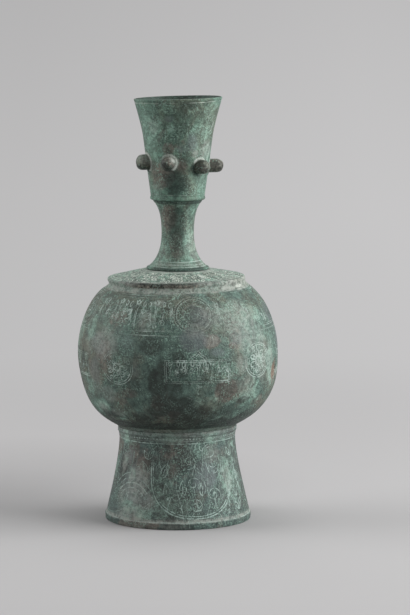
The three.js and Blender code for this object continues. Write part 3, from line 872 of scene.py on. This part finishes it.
for k in range(GROWTHS):
    azimuth = k * 360 / GROWTHS
    if min(abs((azimuth - a + 180) % 360 - 180) for a in BAND_ROUNDELS) > 14:
        body.motif(uprights(19.4, k % 3), azimuth, 138.4, 0.45, 0.95)
        body.motif(tangle(4.6, 18, 3.9), azimuth + 1.6, 147.6, 0.34, 0.5)
for azimuth, height, line in cross_strokes(90, (3, 16), 72, 130, 90):
    body.motif([line], azimuth, height, 0.32, 0.4)

# The upper band is crispest at the front left, and worn faint beside it
crisp = bell(wrapped(body.around + math.radians(13)), 0, math.radians(18))
in_front = smooth(np.cos(body.around), 0.1, 0.5)
fade = 0.85 - in_front * (0.32 - 0.8 * crisp)
upper = smooth(body.outer[:, 1:], 131, 133)
body.groove *= 1 + upper * (fade - 1)

body.add("pale", (0.5 + 0.45 * body.mottled(5, 4.6, 0.3)) * body.band(159.3, 162, 0.45))
body.add("pale", 0.5 * body.band(60, 65.1, 0.4))
# The patch at azimuth 79, height 103 is a painted highlight on the bare metal of the dent.
body.paint("pale", [
    (-47, 128, 14, 0.9, 0.45), (44, 128, 14, 0.8, 0.4), (56, 118, 9, 2.4, 0.4), (-55, 100, 8, 2, 0.25),
    (42, 142, 18, 0.8, 0.42), (24, 146, 12, 0.9, 0.3), (21, 130, 6, 0.8, 0.35), (11, 137, 8, 0.7, 0.25),
    (-20, 143, 8, 1, 0.3), (-12, 154, 6, 0.6, 0.4), (-46, 92, 9, 0.8, 0.35), (44, 98, 10, 1, 0.3),
    (40, 113, 6, 1.3, 0.5), (-42, 79, 8, 0.5, 0.35), (66, 112, 6, 2.6, 0.4), (79, 103, 2.6, 1.8, 1),
    (-56, 82, 8, 0.6, 0.5), (-60, 124, 8, 1.2, 0.25), (41, 116, 5, 0.8, 0.4),
])
body.add("dark", 0.9 * body.band(65.6, 73.5, 1.8))
body.add("dark", 0.75 * body.mottled(8, 6.1, 0.34) * (1 - body.above(75, 86, 3)))

# The lowest strip of the body is pale where it meets the foot, and higher in front, where the pale stands as a
# painted reflection of the floor
seam = 65.3 + 2 * body.facing(0, 0.3, 0.85)
body.dark *= body.above(seam - 0.3, seam + 0.5, 0.4)
body.add("pale", 0.3 * (1 - body.above(seam - 0.4, seam + 0.4, 0.4)))
body.paint("dark", [
    (-12, 103, 9, 1.4, 0.95), (-15, 126, 10, 0.9, 0.62), (-6, 88, 13, 0.8, 0.75), (4, 126, 9, 0.6, 0.35),
    (-2, 100, 8, 0.7, 0.6), (-26, 100, 8, 1.3, 0.5), (8, 80, 18, 0.6, 0.8), (42, 88, 6, 0.6, 0.6),
    (-24, 75, 9, 0.4, 0.5), (-2, 126, 7, 0.8, 0.35), (-28, 112, 5, 1.4, 0.3), (-17, 149, 6, 0.8, 0.45),
    (-14, 131, 6, 0.7, 0.45), (-29, 150, 7, 0.8, 0.5), (-17, 106, 8, 1.2, 0.4), (14, 106, 7, 0.8, 0.35),
    (-22, 136, 6, 0.9, 0.45), (4, 89, 8, 0.7, 0.7), (-8, 112, 7, 1.2, 0.7), (1, 120, 7, 0.9, 0.6),
    (30, 80, 12, 0.5, 0.5), (-12, 96, 6, 1, 0.9), (30, 96, 8, 0.9, 0.45), (-12, 82, 12, 0.5, 0.75),
    (-69, 112, 4, 2.4, 0.65), (2, 111, 8, 1, 0.55), (34, 84, 8, 0.5, 0.4),
])
for azimuth in BAND_ROUNDELS:
    body.add("dark", 0.6 * body.rings(azimuth, BAND_LEVEL, (12.5, 9.3, 5.6), 0.45))
    body.add("pale", 0.4 * body.rings(azimuth, BAND_LEVEL, (13.5, 11.5, 7.4), 0.35))
body.paint("brown", [
    (21, 129.5, 8, 0.8, 0.7), (29.5, 96, 10, 1, 0.85), (-46, 117, 10, 1.5, 0.6), (34, 126, 6, 0.8, 0.5),
    (-30, 94, 9, 0.6, 0.5), (-2, 80, 6, 0.7, 0.6), (-36, 90, 8, 0.8, 0.4), (-40, 143, 11, 0.8, 0.45),
    (-12, 88, 6, 1.4, 0.5), (60, 86, 6, 1, 0.5), (73, 103, 6, 1.8, 0.9), (-60, 108, 7, 1.6, 0.4),
])
body.paint("slate", [
    (8, 131, 12, 0.8, 0.9), (14, 146, 12, 0.9, 0.6), (-52, 126, 11, 0.9, 0.5), (24, 122, 8, 0.6, 0.6),
    (-30, 128, 7, 0.8, 0.4), (-54, 108, 8, 1.6, 0.5), (-24, 110, 5, 1.6, 0.4), (36, 130, 8, 0.8, 0.5),
])
body.paint("teal", [
    (47, 96, 11, 1, 0.75), (52, 141, 17, 0.8, 0.45), (-17, 146, 9, 1.2, 0.45), (-56, 82, 12, 0.6, 0.95),
    (60, 122, 11, 1.4, 0.65), (34, 150, 14, 0.7, 0.35), (-26, 80, 12, 0.5, 0.45), (54, 88, 8, 0.5, 0.5),
    (-62, 134, 8, 1.4, 0.45), (-20, 142, 8, 1, 0.35), (66, 104, 8, 1.3, 0.55), (18, 88, 10, 0.6, 0.35),
    (-64, 98, 7, 1.4, 0.55), (46, 126, 10, 0.8, 0.5), (-41, 77, 9, 0.6, 1), (30, 110, 10, 0.8, 0.3),
    (-18, 76, 6, 0.4, 0.3), (14, 79, 6, 0.4, 0.4), (26, 77, 7, 0.4, 0.45), (2, 84, 6, 0.5, 0.3),
])
body.scatter("brown", 14, 0.6, 76, 152)
body.scatter("dark", 14, 0.6, 74, 150)
body.scatter("teal", 16, 0.55, 74, 154)
body.scatter("slate", 10, 0.7, 80, 150)

# A dent worn to bare metal at the right side
dent = body.spot(73.5, 104.3, 5.6, 1.25)
body.copper = dent ** 1.5
body.lift -= 1.3 * dent
body_bronze = bronze("body_patina", 0)
body.build("body_turned", body_bronze, "body_bowl", wear=0.55)

# Shoulder plate

plate = Surface(
    outline(
        (43.6, 157.6),
        (43.6, 160.1),
        corner((44, 160.1), (48.2, 160.1), (47.7, 160.7), 0.12),
        curve((47.9, 160.4), [[0.5, 0.15], [0.9, 0.5]], (46.4, 162.7), 10),
        curve((46.4, 162.7), [[0, 0.3], [0.6, 0.7]], (46.9, 164.4), 8),
        curve((46.9, 164.6), [[0, 0.6], [0.5, 1]], (45.3, PLATE_EDGE), 12),
        (22.4, PLATE_TOP),
        (12.6, PLATE_TOP),
    ),
    [(12.5, 168.9), (22.4, 168.9), (41.3, 164), (41.3, 157.5)],
    columns=840,
    step=0.34,
)
for radius, depth in ((44.2, 0.9), (42.6, 0.6), (25.6, 0.8), (24.2, 0.5)):
    plate.ring(radius, 0.42, depth, side=1)
for k in range(12):
    plate.motif(tangle(17.6, 17, 3.3, 1.7), 30 * k, 34.2, 0.55, 1.1, side=1)
    plate.motif([circle(0, 0, 4), circle(0, 0, 1.2)], 30 * k, 34.2, 0.5, 0.8, side=1)
on_top = plate.above(165.9, 166.6)
side_band = (1 - on_top) * plate.above(160.5, 160.8)
plate.add("pale", 0.2 * on_top)
plate.add("pale", 0.95 * smooth(-plate.across, -26.5, -23.5))
plate.add("pale", 0.5 * on_top * smooth(plate.across, 43.6, 44.6))
plate.add("brown", side_band * plate.facing(-12, 0.72, 0.92))
plate.add("brown", 0.8 * side_band * plate.facing(210, 0.3, 0.8))
patchy = plate.mottled(5, 4.6, 0.3)
right_end = plate.facing(60, 0.6, 0.9)
plate.add("pale", side_band * right_end * (0.45 + 0.55 * patchy))
plate.add("pale", 0.6 * side_band * plate.facing(-66, 0.8, 0.95))
lower_lip = 1 - plate.above(162.3, 163.1, 0.5)
plate.add("pale", (0.5 + 0.4 * patchy) * (1 - on_top) * lower_lip)
plate.brown *= 1 - lower_lip
# Painted shade: a dark line under the front edge of the top, carried onto the top's outer strip at the front.
front = plate.facing(-8, 0.55, 0.8)
plate.add("dark", 0.9 * side_band * front * plate.above(164.6, 165.2, 0.3))
plate.add("dark", 0.75 * on_top * front * smooth(plate.across + 0.4 * plate.frayed, 43, 44.2))
# A painted glint on the lower lip at the right, pressed in and filled pale like the engraving.
plate.add("groove", 0.9 * plate.spot(63, 161.4, 6, 0.25))
plate.add("teal", 0.7 * on_top * plate.mottled(12, 2.2, 0.4))
ends = smooth(np.abs(np.sin(plate.azimuth)), 0.72, 0.95)
plate.add("teal", 0.95 * on_top * ends)
plate.add("pale", 0.35 * on_top * ends)
plate_bronze = bronze(
    "plate_patina", 4.7, ground=rgb(96, 120, 108), second=rgb(102, 110, 98), fill=rgb(240, 246, 236),
    speck=0.75, busy=0.8,
)
plate.build("shoulder_disc", plate_bronze, "shoulder_plate", wear=0.2, depth=0.3)

# Neck

neck = Surface(
    outline(
        (12.1, 165.7),
        (12.1, NECK_SEAT),
        (19, 171.4),
        corner((19.5, 171.4), (21.3, 171.4), (21.3, 172.2), 0.35),
        corner((21.3, 172.2), (21.2, 172.9), (20.3, 173.15), 0.35),
        curve((20.2, 173.1), [[0.47, 0.135], [1, 0.403]], (11.1, 196)),
        curve((11.1, 196), [[0, 0.507], [0.328, 0.829]], (16.7, 217.3)),
        (16.7, 218.2),
        (12.2, 218.2),
        (12.1, 224.1),
    ),
    [(8.9, 224.2), (8.9, 165.6)],
    columns=420,
)
neck.ring(215.6, 0.35, 0.4)
for height in (173.9, 175.4, 177.3):
    neck.ring(height, 0.42, 0.7)
neck.paint("brown", [(-30, 208, 9, 1.6, 0.6), (-5, 190, 7, 2, 0.5)])
# Painted shade down the middle of the front.
neck.paint("dark", [(0, 200, 8, 2.8, 0.55)])
# Painted shade on the neck just under the cup.
neck.add("dark", 0.6 * neck.band(216, 219, 0.6))
neck.add("dark", 0.7 * neck.band(170, 173.6, 0.5) * neck.facing(0, 0.2, 0.8))
neck.add("pale", 0.35 * neck.band(174, 177, 1))
neck.paint("pale", [(60, 186, 8, 1.6, 0.3)])
neck.scatter("brown", 5, 0.6, 178, 214, 4, 9)
neck.scatter("teal", 5, 0.5, 176, 214, 4, 9)
neck.paint("teal", [(-50, 180, 8, 1.4, 0.5), (50, 188, 9, 2, 0.5), (60, 206, 7, 2, 0.4)])
neck_bronze = bronze(
    "neck_patina", 7.9, ground=rgb(97, 128, 114), second=rgb(101, 109, 97), deep=rgb(40, 58, 52),
    speck=0.8, busy=0.25,
)
neck.build("neck_turned", neck_bronze, "neck")

# Mouth cup

cup = Surface(
    outline(
        (12.5, 218.35),
        (17, 218.3),
        curve((17.3, 218.3), [[0.8, 0], [1, 0.5]], (18.8, 219.5), 10),
        curve((18.8, 219.5), [[0, 0.5], [0.6, 1]], (18.42, 221), 8),
        (23.55, 260.5),
        curve((23.55, 260.5), [[0.137, 0.263], [0.71, 0.76]], (30.02, 286.6)),
        corner((29.9, 286.2), (30.12, 287.15), (29.2, 287.4), 0.4),
        corner((29.2, 287.4), (28.35, 287.62), (28.1, 286.6), 0.4),
    ),
    [(26.9, 281.6), (24.9, 274.4), (23.2, 268), (21.75, 260.8), (19.4, 242), (16.9, 223.9), (14.8, 221.5),
     (12.5, 221.5)],
    columns=560,
)
cup.ring(284.6, 0.35, 0.5)
cup.ring(222.6, 0.35, 0.4)
for azimuth in (-32, 58, 148, 238):
    cup.motif([arc(0, 0, 6, -60, 130), arc(0, 0, 4.4, -60, 130)], azimuth, 270, 0.42, 0.4)
for azimuth in (17, 107, 197, 287):
    dots = [circle(x, y, 0.5) for x, y in ((0, 0), (0, -3.6), (3.2, -1.8), (-3.2, -1.8))]
    cup.motif(dots, azimuth, 272, 0.45, 0.45)
for k in range(24):
    lines = [spiral(0, 0, 2, 40 * k, 1.2 if k % 2 else -1.2)] + leaf(1.4, 1, 30 * (k % 5), 3.4, 0.8)[:2]
    cup.motif(lines, 15 * k + 3, 254 + 1.5 * math.sin(2.3 * k), 0.4, 0.38)
for azimuth, height, size, _ in STUDS:
    _, r = cup.place(height)
    across, along = cup.offsets(azimuth, height)
    distance = np.hypot(across, along)
    collar = bell(distance, COLLAR_RADIUS * size, COLLAR_WIDTH)
    cup.lift += 0.6 * collar
    # Each collar shows pale crust only on its lit upper right, a painted highlight, and a painted shadow falls on
    # the cup below and left of the stud.
    lit_upper_right = smooth(0.7 * (np.sin(across / r) * r + along) / STUD_RADIUS, -0.75, 0.1)
    cup.add("pale", 0.95 * collar * lit_upper_right)
    cup.add("groove", 0.95 * collar * lit_upper_right)
    cup.add("dark", 0.8 * (1 - lit_upper_right) * bell(distance, 5.2 * size, 1.6))
cup.paint("brown", [
    (-24, 236, 8, 1.4, 0.75), (-17, 254, 6, 1.2, 0.55), (6, 243, 6, 1, 0.6), (4, 257, 6, 0.8, 0.4),
    (150, 250, 10, 1.2, 0.6), (215, 232, 9, 1, 0.6), (260, 262, 9, 1, 0.5), (100, 270, 8, 1, 0.5),
    (-50, 240, 8, 1, 0.5), (-42, 231, 9, 1, 0.5),
])
# The tall patch at azimuth 4 is painted shade down the middle of the front.
cup.paint("dark", [
    (4, 272, 8, 2.2, 0.45), (-4, 230, 10, 1.2, 0.75), (14, 283, 10, 0.5, 0.5), (180, 244, 12, 1.6, 0.5),
    (240, 276, 9, 1, 0.4), (12, 248, 7, 0.8, 0.4), (-8, 262, 6, 1.4, 0.35),
])
cup.paint("slate", [(26, 258, 6, 1.4, 0.6), (-12, 274, 5, 0.7, 0.6), (10, 254, 6, 0.6, 0.5), (200, 262, 9, 1, 0.6)])
cup.paint("teal", [
    (46, 262, 10, 1.2, 0.35), (-46, 270, 10, 1.6, 0.3), (50, 230, 9, 1.3, 0.15), (-46, 266, 12, 1.8, 0.62),
    (-10, 268, 5, 0.7, 0.7), (130, 262, 9, 1, 0.5), (290, 240, 8, 1.2, 0.5), (60, 250, 9, 1.2, 0.6),
    (54, 280, 9, 1, 0.4), (-44, 226, 7, 0.8, 0.4), (20, 232, 7, 1, 0.3),
])
cup.paint("pale", [
    (62, 252, 8, 1.2, 0.5), (-42, 268, 5, 1.4, 0.3), (54, 232, 6, 1.3, 0.1), (33, 250, 3, 1, 0.7),
    (64, 242, 5, 1.5, 0.5),
])
# Painted shade on the inner edge of the rim, where it turns into the mouth.
cup.add("dark", 0.8 * smooth(cup.along, cup.arc[-1] - 2, cup.arc[-1] - 0.8))
cup_bronze = bronze(
    "cup_patina", 11.1, ground=rgb(97, 128, 113), second=rgb(103, 115, 100), fill=rgb(236, 246, 236),
    deep=rgb(38, 58, 52), speck=0.8, busy=0.15,
)
cup.build("mouth_cup_turned", cup_bronze, "mouth_cup", wear=0.4)

# Studs

stud_bronze = bronze(
    "stud_patina", 17, ground=rgb(106, 111, 98), second=rgb(100, 97, 86), speck=0.8, gloss=0.42, busy=0.45,
)
STUD_COLUMNS = 72
for number, (azimuth, height, size, reach) in enumerate(STUDS, 1):
    wall = np.interp(height, WALL_LEVELS, WALL_RADII)
    radius = STUD_RADIUS * size
    length = STUD_LENGTH * reach
    # From the riveted head inside, along the shank through the wall, to the dome outside
    head_points = outline(
        (0.02, wall - 3.2),
        (2.5, wall - 3),
        (3.55, wall - 2.25),
        (3.55, wall - 1.9),
        (2.1, wall - 1.8),
        (2.1, wall - 0.9),
        (radius * 0.98, wall - 0.9),
        curve((radius * 0.98, wall - 0.9), [[0, 0.5], [0.9, 0.7]], (radius * 0.985, wall + 0.42 * length), 12),
        curve((radius * 0.985, wall + 0.42 * length), [[0, 0.62], [0.42, 1]], (0.02, wall + length - 0.15), 22),
    )
    around = np.arange(STUD_COLUMNS) * TURN / STUD_COLUMNS
    r, out = head_points[:, :1], head_points[:, 1:]
    local = np.stack([r * np.cos(around), out + 0 * around, r * np.sin(around)], axis=-1).reshape(-1, 3)
    lump = (layered(local + 40 * number, 5, 3) - 0.5) * 0.5
    outer_share = smooth(local[:, 1], wall + 0.3, wall + 2)
    local *= 1 + (lump * outer_share / 6)[:, None] * np.array([1, 0, 1])
    local[:, 1] -= 0.25 * outer_share * smooth(layered(local + 9, 4, 2), 0.5, 0.8)
    a = math.radians(azimuth)
    points = np.column_stack([
        local[:, 1] * math.sin(a) + local[:, 0] * math.cos(a),
        -local[:, 1] * math.cos(a) + local[:, 0] * math.sin(a),
        height + local[:, 2],
    ])
    quads, uv = lattice(head_points, STUD_COLUMNS, False)
    marks = np.zeros((len(points), 4))
    side = (local[:, 0] + local[:, 2]) / radius
    # Painted highlight: pale on the upper right rim of each head, with a wider pale crescent on the second.
    marks[:, 1] = 0.4 * smooth(side, 0.5, 1.2)
    if number == 2:
        marks[:, 1] = np.maximum(marks[:, 1], 0.9 * smooth(side, 0.95, 1.2))
    tones = np.zeros((len(points), 4))
    painted_shade = 0.85 if number < 3 else 0.5  # painted shade on the lower left of each head, deeper on the two at the left
    tones[:, 0] = np.maximum(0.4 * smooth(layered(points, 7, 2, 3), 0.42, 0.6), painted_shade * smooth(-side, -0.6, 0.3))
    tones[:, 1] = 0.5 * smooth(layered(points, 6, 2), 0.4, 0.6)
    mesh_piece(f"stud_{number}_head", settled(points) * MM, quads, uv, {"marks": marks, "tones": tones},
               stud_bronze, f"stud_{number}")

# Solder rings keep their frame shape

solder = solder_metal()
for name in ("foot_solder", "shoulder_solder", "neck_solder", "cup_solder"):
    ring_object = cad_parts[name]
    for slot in ring_object.material_slots:
        slot.material = solder


# Floor, light and camera

# Found from the ellipses of the rim, the shoulder and the foot
CAMERA_LENS, CAMERA_TILT = 194.93, 83.0
CAMERA_PLACE = (0.0185, -2.2475, 0.4205)

# Greys of the paper: near the bottle, in the painted shadow behind it on its left, as it lights the bottle, and far
# off
PAPER_SEEN = (0.568, 0.561, 0.564, 1.0)
PAPER_IN_SHADOW = (0.475, 0.469, 0.472, 1.0)
PAINTED_SHADOW_PLACE, PAINTED_SHADOW_REACH = (-0.12, 0.13, 0.0), (0.03, 0.22)
PAPER_BOUNCE = (0.32, 0.315, 0.315, 1.0)
PAPER_FAR = (0.512, 0.507, 0.51, 1.0)
FAR_START, FAR_END = 0.26, 0.85
SKY_LIGHT, SKY_SEEN = 0.195, 0.5


def floor_material():
    """Grey paper, paler as the camera sees it than as it lights the bottle, with a painted shadow behind the bottle
    on its left, and far from it a glow of one grey, painted brighter to the right and dimmer higher up.
    """
    n = Nodes(bpy.data.materials.new("studio_grey"))
    place = n.add("TexCoord").outputs["Object"]
    across, _, up = n.add("SeparateXYZ", Vector=place).outputs
    away = n.add("VectorMath", {"operation": "LENGTH"}, i0=place).outputs["Value"]
    seen = n.seen()
    reach = n.add("VectorMath", {"operation": "DISTANCE"}, i0=place, i1=PAINTED_SHADOW_PLACE).outputs["Value"]
    painted_shadow = n.span(reach, *PAINTED_SHADOW_REACH, 1.0, 0.0, "LINEAR")
    tone = n.mix(painted_shadow, PAPER_SEEN, PAPER_IN_SHADOW)
    paper = n.add("BsdfDiffuse", Color=n.mix(seen, PAPER_BOUNCE, tone))
    # Far off the paper glows as painted light: brighter to the right and dimmer higher up.
    right = n.span(across, -0.25, 0.25, 0.99, 1.11, "LINEAR")
    higher = n.span(up, 0.0, 0.27, 1.0, 0.905, "LINEAR")
    far_glow = n.add("Emission", Color=PAPER_FAR, Strength=n.times(right, higher))
    far = n.times(seen, n.span(away, FAR_START, FAR_END))
    both = n.add("MixShader", i0=far, i1=paper.outputs[0], i2=far_glow.outputs[0])
    return n.show(both)


# The floor runs back and sweeps up into a wall
FRONT, BEND_START, BEND, WALL_TOP, HALF_WIDTH = -4.0, 2.2, 1.2, 4.5, 5.0
BEND_STEPS = 12
sweep_rows = [(FRONT, 0.0), (BEND_START, 0.0)]
for step in range(1, BEND_STEPS + 1):
    t = math.radians(90 * step / BEND_STEPS)
    sweep_rows.append((BEND_START + BEND * math.sin(t), BEND - BEND * math.cos(t)))
sweep_rows.append((BEND_START + BEND, WALL_TOP))
verts = [(x, y, z) for y, z in sweep_rows for x in (-HALF_WIDTH, HALF_WIDTH)]
faces = [(2 * k, 2 * k + 1, 2 * k + 3, 2 * k + 2) for k in range(len(sweep_rows) - 1)]
floor_mesh = bpy.data.meshes.new("studio_floor")
floor_mesh.from_pydata(verts, [], faces)
floor_mesh.shade_smooth()
floor_mesh.materials.append(floor_material())
in_scene("studio_floor", floor_mesh)


def area(name, place, width, height, power):
    """A rectangular lamp aimed at the bottle."""
    lamp = bpy.data.lights.new(name, "AREA")
    lamp.shape = "RECTANGLE"
    lamp.size = width
    lamp.size_y = height
    lamp.energy = power
    item = in_scene(name, lamp)
    item.location = place
    item.rotation_euler = (AIM - Vector(place)).to_track_quat("-Z", "Y").to_euler()


AIM = Vector((0.0, 0.0, 0.15))
area("key_right", (1.5, -0.3, 0.7), 1.7, 1.3, 31.0)
area("fill_left", (-1.6, 0.1, 0.75), 1.1, 1.2, 13.5)
area("top_soft", (0.1, 0.5, 2.2), 1.6, 1.6, 16.0)

n = Nodes(bpy.data.worlds.new("studio"))
glow = n.span(n.seen(), 0.0, 1.0, SKY_LIGHT, SKY_SEEN, "LINEAR")
sky = n.add("Background", Color=(1.0, 1.0, 1.0, 1.0), Strength=glow)
bpy.context.scene.world = n.show(sky, "OutputWorld")
bpy.context.scene.view_settings.view_transform = "Standard"

camera_data = bpy.data.cameras.new("camera")
camera_data.lens = CAMERA_LENS
camera_data.sensor_width = 36
camera = in_scene("camera", camera_data)
camera.location = CAMERA_PLACE
camera.rotation_euler = (math.radians(CAMERA_TILT), 0, 0)
bpy.context.scene.camera = camera
